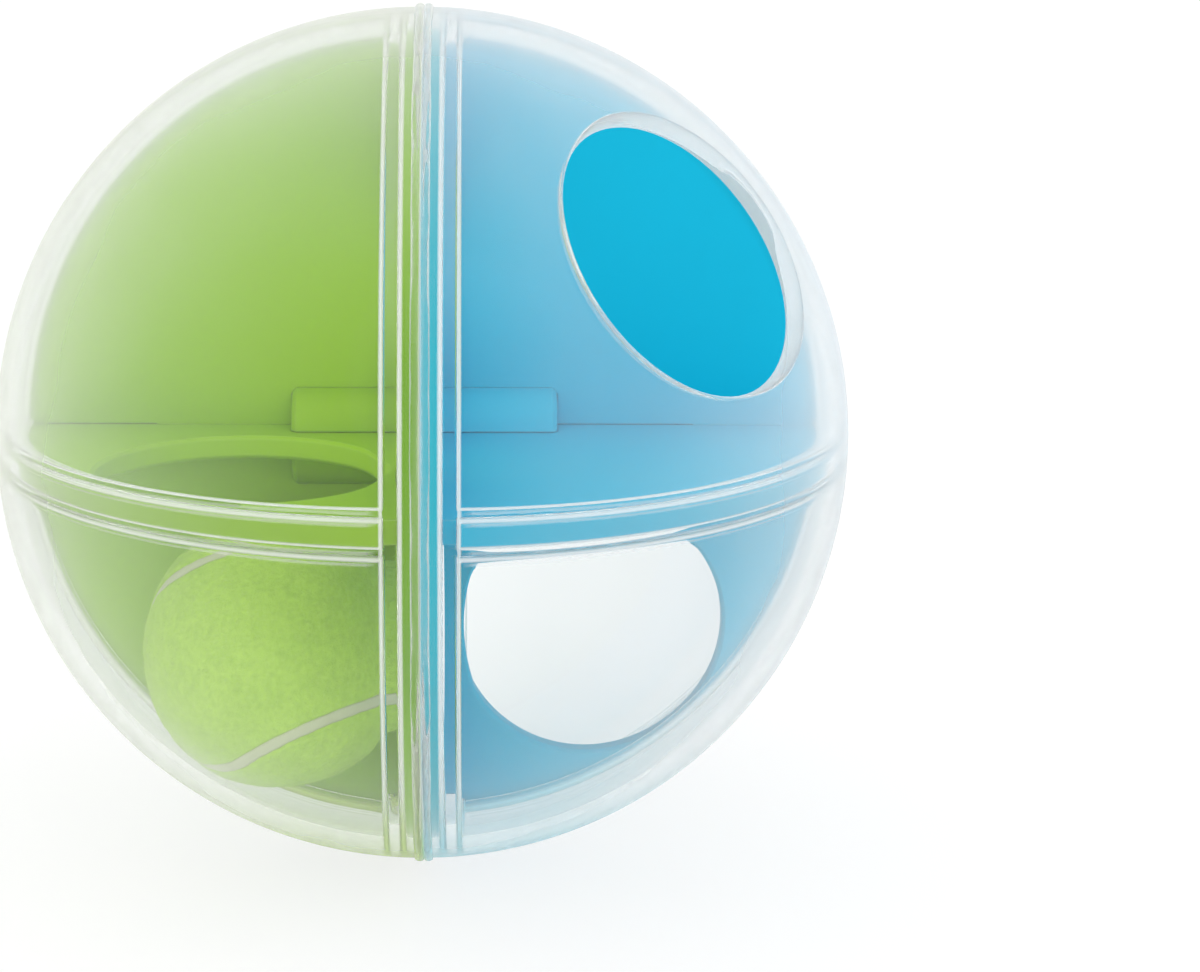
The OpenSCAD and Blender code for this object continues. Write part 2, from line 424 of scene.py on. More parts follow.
@dataclass(frozen=True)
class SatinPlastic:
    """Coloured moulded plastic with a satin surface, faint flow marks, painted shade at its rim and painted
    highlights on its edges.
    """

    name: str
    colour: Colour
    roughness: float = 0.42
    # The rim colour is painted shade where the plastic meets the ball's wall; the next fields set its
    # reach.
    rim: Colour | None = None
    wall_shade_ends: float = 1.0
    wall_shade_r: tuple[float, float] = (0.09, 0.094)
    wall_shade_z: tuple[float, float] = (0.03, 0.065)
    edge_r: float = 0.0007
    # Painted highlight: edges paler by this share.
    edge_highlight: float = 0.35
    edge_turn: tuple[float, float] = (0.75, 0.98)
    grain: float = 0.02

    def material(self) -> bpy.types.Material:
        """A Principled surface whose colour and roughness drift with broad noise, that waves a little
        under a fine grain, and that goes to the rim's colour, a painted shade, at the ball's wall, less so
        high up and low down. Its edges are rounded in the shading, and carry a painted highlight: they
        are paler by how far the rounded normal leaves the true one.

        Returns:
            The material.
        """
        bench = new_bench(self.name)
        shader = bench.add("ShaderNodeBsdfPrincipled", IOR=1.48, Specular_IOR_Level=0.12)
        drift = bench.noise(18.0)
        dark = tuple(c * 0.95 for c in self.colour)
        light = tuple(min(1.0, c * 1.05) for c in self.colour)
        tone = bench.blend(drift, dark, light)
        # Painted shade: towards the rim colour near the ball's wall, less so high up and low down.
        if self.rim:
            axes = bench.axes()
            square = bench.math("MULTIPLY", axes["X"], axes["X"])
            for name in "YZ":
                square = bench.math("MULTIPLY_ADD", axes[name], axes[name], square)
            outer = bench.span(bench.math("SQRT", square), 0.0, 1.0, *self.wall_shade_r)
            level = bench.span(bench.math("ABSOLUTE", axes["Z"]), 1.0, self.wall_shade_ends, *self.wall_shade_z)
            tone = bench.blend(bench.math("MULTIPLY", outer, level), tone, self.rim)
        rounded = bench.add("ShaderNodeBevel", samples=6, Radius=self.edge_r)
        true = bench.add("ShaderNodeNewGeometry")
        turn = bench.add("ShaderNodeVectorMath", operation="DOT_PRODUCT")
        bench.link(rounded.outputs[0], turn.inputs[0])
        bench.link(true.outputs["True Normal"], turn.inputs[1])
        # Painted highlight on the edges: paler where the rounded normal turns from the true one.
        painted_edge_highlight = bench.span(turn.outputs["Value"], self.edge_highlight, 0.0, *self.edge_turn)
        pale = tuple(c + 0.35 * (1.0 - c) for c in self.colour)
        bench.link(bench.blend(painted_edge_highlight, tone, pale), shader.inputs["Base Color"])
        rough = bench.span(drift, self.roughness - 0.05, self.roughness + 0.07)
        bench.link(rough, shader.inputs["Roughness"])
        wave, grain = bench.noise(70.0, 1.0, 0.4), bench.noise(1400.0, 2.0, 0.6)
        height = bench.math("MULTIPLY_ADD", grain, self.grain, wave)
        bench.bump(shader, height, 0.05, 0.0005, rounded.outputs[0])
        return bench.finish(shader)


@dataclass(frozen=True)
class MattRubber:
    """Rubber with a dull, finely pitted surface and a dusty bloom in patches."""

    name: str
    colour: Colour
    bloom: Colour
    roughness: float = 0.8

    def material(self) -> bpy.types.Material:
        """A rough Principled surface, mottled towards the bloom's colour, with a pitted bump.

        Returns:
            The material.
        """
        bench = new_bench(self.name)
        shader = bench.add("ShaderNodeBsdfPrincipled", IOR=1.5)
        patch = bench.noise(260.0, 4.0, 0.6)
        bench.link(bench.blend(patch, self.colour, self.bloom), shader.inputs["Base Color"])
        rough = bench.span(patch, self.roughness - 0.08, self.roughness + 0.12)
        bench.link(rough, shader.inputs["Roughness"])
        bench.bump(shader, bench.noise(2200.0, 2.0, 0.6), 0.3, 0.0002)
        return bench.finish(shader)


@dataclass(frozen=True)
class WovenFelt:
    """Fuzzy yellow-green felt: mottled nap, pale fibre tips and a soft sheen."""

    deep: Colour = (0.25, 0.46, 0.015)
    pale: Colour = (0.46, 0.72, 0.06)
    tip: Colour = (0.58, 0.80, 0.12)

    def material(self) -> bpy.types.Material:
        """Mixes deep and pale nap by fine noise over broad noise, goes to the tips' colour along the
        fibres' mark, and bumps the nap.

        Returns:
            The material.
        """
        bench = new_bench("felt")
        shader = bench.add("ShaderNodeBsdfPrincipled", Roughness=0.95, Specular_IOR_Level=0.15,
                           Sheen_Weight=0.12, Sheen_Roughness=0.6, Sheen_Tint=(0.85, 1.0, 0.6, 1.0))
        nap, drift = bench.noise(900.0, 4.0, 0.7), bench.noise(120.0, 3.0)
        share = bench.math("MULTIPLY_ADD", drift, 0.5, bench.math("MULTIPLY_ADD", nap, 1.6, -0.55))
        ground = bench.blend(share, self.deep, self.pale)
        bench.link(bench.blend(bench.mark("fibre"), ground, self.tip), shader.inputs["Base Color"])
        bench.bump(shader, bench.noise(1500.0, 4.0, 0.75), 0.7, 0.0006)
        return bench.finish(shader)


@dataclass
class HalfShell:
    """One clear hemisphere: wall, rim rib, panel channels, seam bead and lipped ball port.

    The shell with its port is one closed surface. Its grid runs round the twist axis along u and from
    the pole to the rim along v. The rings are squares near the pole, so that the ribs beside the
    panels follow grid lines, and turn into circles further out. Sizes are in millimetres.
    """

    half: Half
    outer_r: float = 100.0
    inner_r: float = 95.5
    face_x: float = 0.04
    rib_h: float = 3.0
    channel: float = 3.35
    slab: float = 5.15
    rim_rib: tuple[float, float] = (4.5, 7.7)
    bead_r: float = 0.95
    bead_h: float = 0.9
    bead_proud: float = 1.0
    port_polar: float = 52.0
    port_clock: float = 45.0
    port_r: float = 33.55
    port_edge: float = 1.0
    taper: float = 0.155
    foot: float = 1.0
    crown: float = 0.6
    # Painted light: the rim rib is whiter high up, by these levels and shares.
    rim_light_levels: tuple[float, ...] = (-0.8, 0.1, 0.3, 0.55, 0.75)
    rim_painted_light: tuple[float, ...] = (0.0, 0.02, 0.05, 0.19, 0.28)
    # Painted highlight lines over the feet of the ribs.
    rib_line_highlight: float = 0.4
    lip_milk: float = 0.3
    bead_turns: tuple[float, ...] = (0.0, 25.0, 125.0, 145.0)
    bead_milk: tuple[float, ...] = (0.75, 0.05, 0.05, 0.6)
    bead_waver: float = 0.0016
    bead_slide: float = 0.12
    quarter_lines: int = 24
    zone_lines: int = 56
    lip_lines: int = 16
    arc_lines: int = 4
    square_until: float = 24.0
    u: dict[str, np.ndarray] = field(default_factory=dict)

    def wall_lines(self, edge: float, low: float) -> tuple[np.ndarray, np.ndarray]:
        """Lines across one rib wall, from its filleted foot to its rounded crown.

        The foot is a quarter circle that leaves the wall's floor, the crown a quarter circle that
        turns into the rib's top; both have their own radius.

        Args:
            edge: where the wall stands.
            low: +1 if the floor is on the side of larger values, else -1.

        Returns:
            The lines' places, and their heights as shares of the rib's height.
        """
        turn = np.linspace(0.0, math.pi / 2, self.arc_lines)
        foot_s = edge + low * self.foot * (1.0 - np.sin(turn))
        foot_h = self.foot * (1.0 - np.cos(turn))
        crown_s = edge - low * self.crown * (1.0 - np.cos(turn))
        crown_h = self.rib_h - self.crown * (1.0 - np.sin(turn))
        return np.concatenate([foot_s, crown_s]), np.concatenate([foot_h, crown_h]) / self.rib_h

    def across(self) -> tuple[np.ndarray, np.ndarray, np.ndarray]:
        """Lines from a channel's middle out over one rib to the plain wall.

        Returns:
            Places, how far each line is on the ribs' slab, and how far it is in the channel.
        """
        inner_s, inner_h = self.wall_lines(self.channel, -1.0)
        outer_s, outer_h = self.wall_lines(self.slab, 1.0)
        floor = np.array([0.0, 1.5])
        place = np.concatenate([floor, inner_s, outer_s[::-1]])
        slab = np.concatenate([np.ones(len(floor) + len(inner_s)), outer_h[::-1]])
        channel = np.concatenate([np.ones(len(floor)), 1.0 - inner_h, np.zeros(len(outer_s))])
        return place, slab, channel

    def lay_u(self) -> None:
        """Lays the lines that run from the pole to the rim, side by side round the twist axis.

        Each of the four sides has its arm of ribs in the middle and half a plain quarter at each end.
        """
        place, slab, channel = self.across()
        flat, quarter = np.zeros_like(place), np.zeros(self.quarter_lines)
        half = {"s": np.concatenate([place, quarter + place[-1]]),
                "sign": np.ones(len(place) + self.quarter_lines),
                "t": np.concatenate([flat, np.arange(1, self.quarter_lines + 1) / self.quarter_lines]),
                "slab": np.concatenate([slab, quarter]),
                "channel": np.concatenate([channel, quarter])}
        turned = {"s": -1.0, "sign": -1.0}
        whole = {key: np.concatenate([turned.get(key, 1.0) * line[-2:0:-1], line])
                 for key, line in half.items()}
        self.u = {key: np.tile(line, 4) for key, line in whole.items()}
        self.u["side"] = np.repeat(np.arange(4), len(whole["s"]))

    def ring_points(self, reach: np.ndarray, line: dict[str, np.ndarray]) -> tuple[np.ndarray, np.ndarray]:
        """Where each line crosses a ring: on a square of half width reach near the pole, on a circle
        of radius reach further out, and on a blend of the two between.

        Args:
            reach: (rows, lines) or (rows, 1) reach of each ring.
            line: the lines' s, sign, t and side.

        Returns:
            y and z of each crossing.
        """
        reach = np.maximum(reach, 1e-9) + np.zeros_like(line["s"])
        s = np.clip(line["s"] * self.narrowing(reach), -reach, reach)
        base = np.abs(s)
        quarter = line["t"] > 0.0
        square_q = np.where(quarter, line["sign"] * (base + line["t"] * (reach - base)), s)
        lean = np.arcsin(np.clip(base / reach, 0.0, 1.0))
        spread = lean + line["t"] * (math.pi / 4 - lean)
        angle = np.where(quarter, line["sign"] * spread, np.sign(s) * lean)
        blend = smooth_step(reach, self.cross_reach(), self.square_until)
        p = (1.0 - blend) * reach + blend * reach * np.cos(angle)
        q = (1.0 - blend) * square_q + blend * reach * np.sin(angle)
        turn = line["side"] * math.pi / 2
        return p * np.cos(turn) - q * np.sin(turn), p * np.sin(turn) + q * np.cos(turn)

    def narrowing(self, reach: np.ndarray | float) -> np.ndarray:
        """Share of their full width that the ribs and channels keep: they narrow in step with the
        distance from the seam, which is the other leg of the reach on the inner sphere.

        Args:
            reach: distance from the twist axis.

        Returns:
            The share at each reach.
        """
        return 1.0 - self.taper * np.sqrt(np.clip(1.0 - (reach / self.inner_r) ** 2, 0.0, 1.0))

    def cross_reach(self) -> float:
        """Reach of the ring that goes round the ribs' crossing at the pole."""
        return (self.slab + self.foot) * (1.0 - self.taper)

    def zone_angles(self, radius: float) -> tuple[float, float]:
        """Angles from the twist axis between which a surface is plain.

        Args:
            radius: the surface's radius.

        Returns:
            The first angle, at the ribs' crossing, and the last, at the rim rib's foot.
        """
        return (math.asin(self.cross_reach() / radius),
                math.acos((self.rim_rib[1] + self.foot) / radius))

    def inner_rows(self) -> dict[str, np.ndarray]:
        """The rings of the inner surface from the pole to the seam: each is set by its reach near the
        pole, by its angle in the plain zone and by its x at the rim.

        Returns:
            Arrays reach, angle and x, with -1 where unused, and slab, channel, rim and arms.
        """
        place, slab, channel = self.across()
        first, last = self.zone_angles(self.inner_r)
        zone = np.linspace(first, last, self.zone_lines + 1)[1:-1]
        outer_x, outer_h = self.wall_lines(self.rim_rib[1], 1.0)
        face_x, face_h = self.wall_lines(self.rim_rib[0], -1.0)
        rim_x = np.concatenate([outer_x, face_x[::-1], [2.2, self.face_x]])
        counts = len(place), len(zone), len(rim_x)
        none = [np.full(count, -1.0) for count in counts]
        flat = [np.zeros(count) for count in counts]
        return {
            "reach": np.concatenate([place * (1.0 - self.taper), none[1], none[2]]),
            "angle": np.concatenate([none[0], zone, none[2]]),
            "x": np.concatenate([none[0], none[1], rim_x]),
            "slab": np.concatenate([slab, flat[1], flat[2]]),
            "channel": np.concatenate([channel, flat[1], flat[2]]),
            "rim": np.concatenate([flat[0], flat[1], outer_h, face_h[::-1], np.zeros(2)]),
            "arms": np.concatenate([np.ones(sum(counts[:2]) + len(outer_x)), np.zeros(len(face_x) + 2)]),
        }

    def foot_mark(self, height: np.ndarray) -> np.ndarray:
        """Marks the filleted foot of a rib: 0 on the plain wall, 1 on the fillet, 0 again above it.

        Args:
            height: share of the rib's height.

        Returns:
            The mark at each height.
        """
        foot = self.foot / self.rib_h
        return np.clip(height / (0.1 * foot), 0.0, 1.0) * np.clip((2.0 * foot - height) / foot, 0.0, 1.0)

    def inner_surface(self) -> tuple[np.ndarray, np.ndarray, int]:
        """The ribbed inner surface: a sphere less the ribs' height, which is the rim rib's, or the
        slab's where a line or ring is on a slab and in no channel.

        Returns:
            (rings, lines, 3) points, their edge marks, and the ring at which the plain zone starts.
        """
        rows = {key: value[:, None] for key, value in self.inner_rows().items()}
        height = np.maximum(rows["slab"], self.u["slab"])
        height = height * (1.0 - np.maximum(rows["channel"], self.u["channel"])) * rows["arms"]
        radius = self.inner_r - self.rib_h * np.maximum(height, rows["rim"])
        by_x, by_angle = rows["x"] >= 0.0, rows["angle"] >= 0.0
        reach = np.where(by_x, np.sqrt(np.maximum(radius**2 - rows["x"]**2, 0.0)), rows["reach"])
        reach = np.where(by_angle, radius * np.sin(rows["angle"]), reach)
        y, z = self.ring_points(reach, self.u)
        x = np.where(by_x, rows["x"], np.sqrt(np.maximum(radius**2 - y**2 - z**2, 0.0)))
        level = (z if self.half is Half.BLUE else y) / self.inner_r
        # Painted light: the rim rib is whiter high up.
        milk = np.interp(level, self.rim_light_levels, self.rim_painted_light) * rows["rim"]
        # Painted highlight lines at the feet of the ribs and of the rim rib.
        edge = np.maximum(self.foot_mark(height) * (rows["rim"] < 0.01), self.foot_mark(rows["rim"]))
        return np.stack([x, y, z], axis=-1), np.maximum(edge, milk), len(self.across()[0]) - 1

    def outer_surface(self) -> tuple[np.ndarray, np.ndarray, int]:
        """The plain outer sphere, which ends in the rounded bead of this half's rim: an ellipse that
        rises from the sphere and rolls over into the seam, and wavers a little round the rim. Faint
        painted highlight lines mark it over the feet of the ribs.

        Returns:
            (rings, lines, 3) points, their edge marks, and the ring at which the plain zone starts.
        """
        start = np.array([0.0, 0.5, 1.0]) * self.cross_reach()
        first, last = self.zone_angles(self.outer_r)
        zone = np.linspace(first, last, self.zone_lines + 1)[1:-1]
        low = self.outer_r + self.bead_proud - self.bead_h
        arc = np.linspace(math.radians(-12.0), math.radians(166.0), 15)
        bead_x = self.face_x + self.bead_r * (np.cos(arc) - math.cos(arc[-1]))
        over_foot = np.array([1.0, 0.75, 0.5, 0.25, 0.0]) * self.foot
        plain_x = np.concatenate([self.outer_r * np.cos(zone), self.rim_rib[1] + over_foot,
                                  np.linspace(*self.rim_rib[::-1], 5)[1:-1],
                                  self.rim_rib[0] - self.foot + over_foot, [bead_x.max() + 0.25]])
        x = np.concatenate([plain_x, bead_x])[:, None]
        plain_reach = np.sqrt(self.outer_r**2 - plain_x**2)
        reach = np.concatenate([plain_reach, low + self.bead_h * np.sin(arc)])[:, None]
        near = np.concatenate([start, np.full(len(x), -1.0)])[:, None]
        full = np.concatenate([np.zeros((len(start), 1)), reach])
        y, z = self.ring_points(np.where(near >= 0.0, near, full), self.u)
        depth = np.concatenate([np.zeros((len(start), 1)), x])
        far = np.sqrt(np.maximum(self.outer_r**2 - y**2 - z**2, 0.0))
        square = (near >= 0.0) | (full < self.square_until + 1.0)
        x_all = np.where(square, far, depth)
        around = np.arctan2(z, y)
        waver = 0.5 * np.sin(9 * around + 0.7) + 0.3 * np.sin(23 * around + 2.1) + 0.2 * np.sin(57 * around)
        plain = np.zeros(len(start) + len(plain_x))
        share = np.concatenate([plain, np.maximum(np.sin(arc), 0.0) ** 2])[:, None]
        swell = 1.0 - self.bead_waver * share * (waver + 1.0)
        slide = np.concatenate([plain, np.clip(bead_x / 0.5 - 0.2, 0.0, 1.0)])[:, None]
        x_all = x_all * (1.0 + self.bead_slide * slide * waver)
        points = np.stack([x_all, y * swell, z * swell], axis=-1)
        lines = np.interp(np.degrees(arc), self.bead_turns, self.bead_milk)
        # Painted highlight lines over the feet of the rim rib and of the panel ribs.
        feet = np.array(self.rim_rib) + np.array([-0.5, 0.5]) * self.foot
        off = np.abs(plain_x[:, None] - feet).min(axis=1)
        foot_highlight = self.rib_line_highlight * np.clip(1.5 - 4.0 * off / self.foot, 0.0, 1.0)
        edge = np.concatenate([np.zeros(len(start)), foot_highlight, lines])[:, None] * np.ones_like(y)
        ribs = self.rib_line_highlight * self.foot_mark(self.u["slab"] * (1.0 - self.u["channel"]))
        edge = np.where(x_all > self.rim_rib[1] + self.foot, np.maximum(edge, ribs), edge)
        return points, edge, len(start) - 1

    def port_axes(self) -> tuple[np.ndarray, np.ndarray, np.ndarray]:
        """The port's outward axis and two directions across it.

        Returns:
            Three unit vectors.
        """
        polar, clock = math.radians(self.port_polar), math.radians(self.port_clock)
        axis = np.array([math.cos(polar), -math.sin(polar) * math.cos(clock),
                         math.sin(polar) * math.sin(clock)])
        first = np.cross(axis, [0.0, 0.0, 1.0])
        first /= np.linalg.norm(first)
        return axis, first, np.cross(axis, first)

    def open_port(self, points: np.ndarray, start_row: int, radius: float) -> np.ndarray:
        """Spreads the grid of one plain quarter away from the port, so that a block of cells opens
        into the port's circle: each point slides along its arc from the port's axis to the quarter's
        edge, by its share of the way from the block to that edge.

        Args:
            points: (rings, lines, 3) surface, changed in place.
            start_row: ring at which the plain zone starts.
            radius: the surface's radius.

        Returns:
            The block's first and last ring, and its first and last line.
        """
        lines = self.quarter_lines
        width = len(self.u["s"]) // 4
        first = 2 * width - 1 - lines
        g = np.linspace(-1.0, 1.0, 2 * lines + 1)[None, :]
        b = np.linspace(-1.0, 1.0, self.zone_lines + 1)[:, None]
        most = np.maximum(np.abs(g), np.abs(b))
        safe = np.maximum(most, 1e-9)
        edge_g, edge_b = np.clip(g / safe, -1, 1), np.clip(b / safe, -1, 1)
        before = edge_g <= 0.0
        start = self.slab + self.foot
        line = {"s": np.where(before, start, -start), "sign": np.where(before, 1.0, -1.0),
                "t": 1.0 - np.abs(edge_g), "side": np.where(before, 1, 2)}
        low, high = self.zone_angles(radius)
        angle = low + (edge_b + 1.0) / 2.0 * (high - low)
        y, z = self.ring_points(radius * np.sin(angle), line)
        edge = np.stack([np.sqrt(np.maximum(radius**2 - y**2 - z**2, 0.0)), y, z], axis=-1) / radius
        axis, one, two = self.port_axes()
        away = np.arccos(np.clip(edge @ axis, -1.0, 1.0))
        round_port = np.arctan2(edge @ two, edge @ one)
        near = self.port_angle()
        share = (most - 0.5) / 0.5
        out = near + share * (away - near)
        spread = np.cos(out)[..., None] * axis + np.sin(out)[..., None] * (
            np.cos(round_port)[..., None] * one + np.sin(round_port)[..., None] * two)
        rows = start_row + np.arange(self.zone_lines + 1)
        cols = first + np.arange(2 * lines + 1)
        keep = (most >= 0.5 - 1e-9)[..., None]
        block = points[np.ix_(rows, cols)]
        points[np.ix_(rows, cols)] = np.where(keep, spread * radius, block)
        return np.array([start_row + self.zone_lines // 4, start_row + 3 * self.zone_lines // 4,
                         first + lines // 2, first + 3 * lines // 2])

    def port_angle(self) -> float:
        """Angle from the port's axis at which the wall starts to round over into the port."""
        return math.asin((self.port_r + self.port_edge) / ((self.outer_r + self.inner_r) / 2.0))

    def loop(self, limits: np.ndarray, columns: int) -> np.ndarray:
        """Flat indices of the points round the opened block, in order.

        Args:
            limits: first and last ring, first and last line of the block.
            columns: number of lines in the grid.

        Returns:
            The indices, each point once.
        """
        j0, j1, i0, i1 = limits
        across, along = np.arange(i0, i1), np.arange(j0, j1)
        rows = np.concatenate([np.full(i1 - i0, j0), along, np.full(i1 - i0, j1), along[::-1] + 1])
        cols = np.concatenate([across, np.full(j1 - j0, i1), across[::-1] + 1, np.full(j1 - j0, i0)])
        return rows * columns + cols

    def lip_points(self, outer: np.ndarray, inner: np.ndarray) -> np.ndarray:
        """Rings of the rounded edge between the two surfaces: half an ellipse, as tall as the wall and
        as deep as the edge's round, carried round the port from the outer surface to the inner one.

        Args:
            outer: (n, 3) points round the port on the outer surface.
            inner: (n, 3) points round the port on the inner surface.

        Returns:
            (lip_lines - 1, n, 3) points.
        """
        axis, one, two = self.port_axes()
        mid, half_wall = (self.outer_r + self.inner_r) / 2.0, (self.outer_r - self.inner_r) / 2.0
        start, end = (np.arctan2(p @ two, p @ one) for p in (outer, inner))
        slip = (end - start + math.pi) % (2.0 * math.pi) - math.pi
        share = np.linspace(0.0, 1.0, self.lip_lines + 1)[1:-1, None]
        turn, around = (math.pi * share)[..., None], (start + share * slip)[..., None]
        out = np.cos(around) * one + np.sin(around) * two
        lean = self.port_angle()
        up = math.cos(lean) * axis + math.sin(lean) * out
        inward = math.sin(lean) * axis - math.cos(lean) * out
        return (mid + half_wall * np.cos(turn)) * up + self.port_edge * np.sin(turn) * inward

    def build(self) -> bpy.types.Object:
        """Joins the outer surface, lip, inner surface and rim face into one closed shell.

        Returns:
            The shell's piece, which replaces its CAD node.
        """
        self.lay_u()
        columns = len(self.u["s"])
        points, faces, loops, edges, offset = [], [], [], [], 0
        for (surface, edge, start), radius in ((self.outer_surface(), self.outer_r),
                                               (self.inner_surface(), self.inner_r)):
            limits = self.open_port(surface, start, radius)
            edges.append(edge.reshape(-1))
            cells = cell_faces(len(surface), columns, True)
            keep = np.ones(cells.shape[:2], bool)
            keep[limits[0]:limits[1], limits[2]:limits[3]] = False
            faces.append(cells[keep] + offset)
            loops.append(self.loop(limits, columns) + offset)
            points.append(surface.reshape(-1, 3))
            offset += len(points[-1])
        flat = np.concatenate(points)
        lip = self.lip_points(flat[loops[0]], flat[loops[1]])
        rungs = offset + np.arange(lip[..., 0].size).reshape(lip.shape[:2])
        ladder = np.concatenate([loops[0][None], rungs, loops[1][None]])
        rim = np.arange(columns) + np.array([[len(points[0]) - columns], [offset - columns]])
        for band in (ladder, rim):
            faces.append(band.reshape(-1)[cell_faces(*band.shape, True).reshape(-1, 4)])
        flat = np.concatenate([flat, lip.reshape(-1, 3)])
        edges.append(np.full(rungs.size, self.lip_milk))
        if self.half is Half.GREEN:
            flat = other_side(flat)
        node = {Half.GREEN: "clear_shell_left", Half.BLUE: "clear_shell_right"}[self.half]
        piece = make_piece(f"{node}_moulding", flat, faces, f"{self.half.value}_half",
                           {"edge": np.concatenate(edges)})
        piece.modifiers.new("even_normals", "WEIGHTED_NORMAL").weight = 50
        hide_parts(node)
        return piece


@dataclass(frozen=True)
class MazePanels:
    """One half's maze: shelf and wall of one plastic and a divider of another, each with painted shade at
    its rim by the ball's wall.

    They are the CAD nodes themselves, dressed.
    """

    half: Half
    colour: Colour
    # The edge and rim colours, with their share at the ends, are painted shade where the panels and divider
    # meet the ball's wall.
    edge: Colour
    divider: Colour
    divider_wall_shade: Colour
    wall_shade_ends: float = 1.0

    def build(self) -> None:
        """Dresses the shelf, the wall and the divider."""
        name = self.half.value
        panel = SatinPlastic(f"{name}_plastic", self.colour, rim=self.edge).material()
        disc = SatinPlastic(f"{name}_divider_plastic", self.divider, rim=self.divider_wall_shade,
                            wall_shade_ends=self.wall_shade_ends).material()
        for node, material in (("shelf", panel), ("wall", panel), ("divider", disc)):
            dress(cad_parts[f"{name}_{node}"], material)


@dataclass
class TennisBall:
    """The felt ball in its chamber: napped cover with fibres, seam ribbon and rubber core.

    It is worked out round its own centre with +X to the front, then tilted and moved to its place.
    Sizes are in millimetres.
    """

    centre: tuple[float, float, float] = (-32.2, -34.75, -42.208)
    tilt: float = 33.0
    turn: float = 45.0
    radius: float = 31.75
    nap_r: float = 31.3
    groove_r: float = 30.5
    ribbon_r: float = 31.1
    ribbon_half: float = 1.45
    nap_waves: int = 28
    nap_swell: float = 0.09
    fibre_count: int = 11000
    rows: int = 150
    columns: int = 300
    seed: int = 7

    def place(self, points: np.ndarray) -> np.ndarray:
        """Turns points from the ball's own frame into the row frame: a quarter turn about Z, the tilt
        about X, the turn about Z, then the move to the centre.

        Args:
            points: (..., 3) points round the ball's centre.

        Returns:
            The placed points.
        """
        turns = [Matrix.Rotation(math.radians(angle), 3, axis)
                 for angle, axis in ((self.turn, "Z"), (-self.tilt, "X"), (-90.0, "Z"))]
        return points @ np.array(turns[0] @ turns[1] @ turns[2]).T + np.array(self.centre)

    def seam_distance(self, unit: np.ndarray) -> np.ndarray:
        """Distance from the seam: in front it runs at latitude 45 degrees about Z, behind about Y.

        Args:
            unit: (..., 3) directions from the centre.

        Returns:
            Arc lengths in millimetres.
        """
        height = np.where(unit[..., 0] > 0.0, np.abs(unit[..., 2]), np.abs(unit[..., 1]))
        return np.abs(np.arcsin(np.clip(height, 0.0, 1.0)) - math.pi / 4) * self.radius

    def nap_radius(self, unit: np.ndarray, rng: np.random.Generator) -> np.ndarray:
        """Radius of the napped cover: it swells by a sum of short waves and sinks into the seam.

        Args:
            unit: (..., 3) directions from the centre.
            rng: seeded source of the waves' directions and phases.

        Returns:
            Radii in millimetres.
        """
        count = self.nap_waves
        waves = rng.normal(size=(count, 3))
        pitch = 2.0 * math.pi / rng.uniform(2.0, 6.0, size=(count, 1))
        waves *= pitch / np.linalg.norm(waves, axis=1)[:, None]
        phase = rng.uniform(0.0, 2.0 * math.pi, size=count)
        swell = np.sin(unit @ waves.T * self.radius + phase).sum(axis=-1) / math.sqrt(count)
        rise = smooth_step(self.seam_distance(unit), 1.0, 2.3)
        return self.groove_r + (self.nap_r - self.groove_r + self.nap_swell * swell) * rise

    def cover(self) -> bpy.types.Object:
        """The felt: a sphere of latitude and longitude at the nap's radius, set with tapered fibres
        that lean over and end inside the ball's size. A fibre is a slim three-sided spike.

        Returns:
            The piece, which replaces both felt nodes.
        """
        rng = np.random.default_rng(self.seed)
        lat = np.linspace(-math.pi / 2, math.pi / 2, self.rows)[:, None]
        lon = np.linspace(0.0, 2.0 * math.pi, self.columns, endpoint=False)[None, :]
        unit = np.stack([np.cos(lat) * np.cos(lon), np.cos(lat) * np.sin(lon),
                         np.sin(lat) + 0.0 * lon], axis=-1)
        state = rng.bit_generator.state
        nap = (unit * self.nap_radius(unit, rng)[..., None]).reshape(-1, 3)
        faces = cell_faces(self.rows, self.columns, True).reshape(-1, 4)
        root = rng.normal(size=(self.fibre_count, 3))
        root /= np.linalg.norm(root, axis=1)[:, None]
        root = root[self.seam_distance(root) > 1.9]
        rng.bit_generator.state = state
        base_r = self.nap_radius(root, rng)[:, None] - 0.12
        count = len(root)
        lean = np.cross(root, rng.normal(size=(count, 3)))
        lean /= np.linalg.norm(lean, axis=1)[:, None]
        tip_r = np.minimum(base_r + rng.uniform(0.25, 0.6, size=(count, 1)), self.radius)
        tip = root * tip_r + lean * rng.uniform(0.3, 1.3, size=(count, 1))
        tip *= np.minimum(1.0, tip_r / np.linalg.norm(tip, axis=1)[:, None])
        side = np.cross(root, lean)
        width = rng.uniform(0.05, 0.1, size=(count, 1))
        turn = np.arange(3) * (2.0 * math.pi / 3.0)
        ring = (root * base_r)[:, None] + width[:, None] * (
            np.cos(turn)[None, :, None] * lean[:, None] + np.sin(turn)[None, :, None] * side[:, None])
        spikes = np.concatenate([ring, tip[:, None]], axis=1).reshape(-1, 3)
        corners = np.array([[0, 1, 3], [1, 2, 3], [2, 0, 3], [0, 2, 1]])
        corners = (corners + (len(nap) + 4 * np.arange(count))[:, None, None]).reshape(-1, 3)
        marks = np.concatenate([np.zeros(len(nap)), np.tile([0.3, 0.3, 0.3, 1.0], count)])
        points = self.place(np.concatenate([nap, spikes]))
        piece = make_piece("ball_felt_cover", points, [faces, corners], "tennis_ball",
                           {"fibre": marks})
        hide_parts("ball_felt_front", "ball_felt_rear")
        return piece

